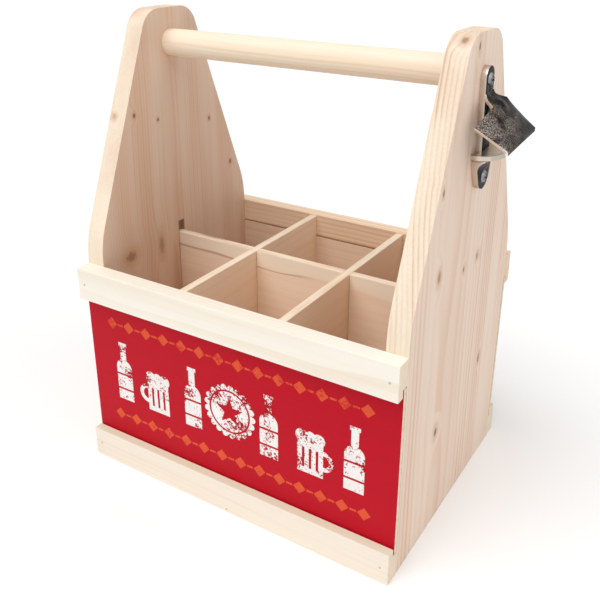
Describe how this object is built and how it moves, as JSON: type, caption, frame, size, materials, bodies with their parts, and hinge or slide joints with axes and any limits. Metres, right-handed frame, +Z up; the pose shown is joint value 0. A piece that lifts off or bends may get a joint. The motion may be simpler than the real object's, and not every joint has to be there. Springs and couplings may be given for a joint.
{
  "type": "wooden beer bottle caddy",
  "caption": "Wooden bottle carrier with tapered end panels, a round handle, a divider grid, a printed red front board and a wall-type bottle opener on one end.",
  "frame": {"origin": "middle of the caddy's underside, between the end panels, on the surface that it stands on", "axes": "+X along the handle towards the end with the opener, +Y from the printed front to the rear, +Z up"},
  "size_m": [0.2865, 0.202, 0.342],
  "materials": {
    "pine_panel": "raw sanded",
    "handle_wood": "raw sanded",
    "rail_wood": "raw sanded",
    "thin_board": "raw",
    "divider_wood": "raw",
    "red_print": "satin",
    "white_print": "satin, worn",
    "orange_print": "satin, worn",
    "opener_steel": "dark plated, bright edges",
    "screw_steel": "zinc plated",
    "brad_steel": "dull"
  },
  "bodies": {
    "root": {"end_panel_left": "pine_panel", "end_panel_right": "pine_panel", "handle": "handle_wood", "front_top_rail": "rail_wood", "front_bottom_rail": "rail_wood", "rear_top_rail": "rail_wood", "rear_bottom_rail": "rail_wood", "front_board": "thin_board", "rear_board": "thin_board", "print_field": "red_print", "print_white": "white_print", "print_orange": "orange_print", "base_board": "thin_board", "long_divider": "divider_wood", "cross_divider_left": "divider_wood", "cross_divider_right": "divider_wood", "bottle_opener": "opener_steel", "opener_screws": "screw_steel", "rail_brads": "brad_steel", "base_brads": "brad_steel"}
  },
  "joints": []
}
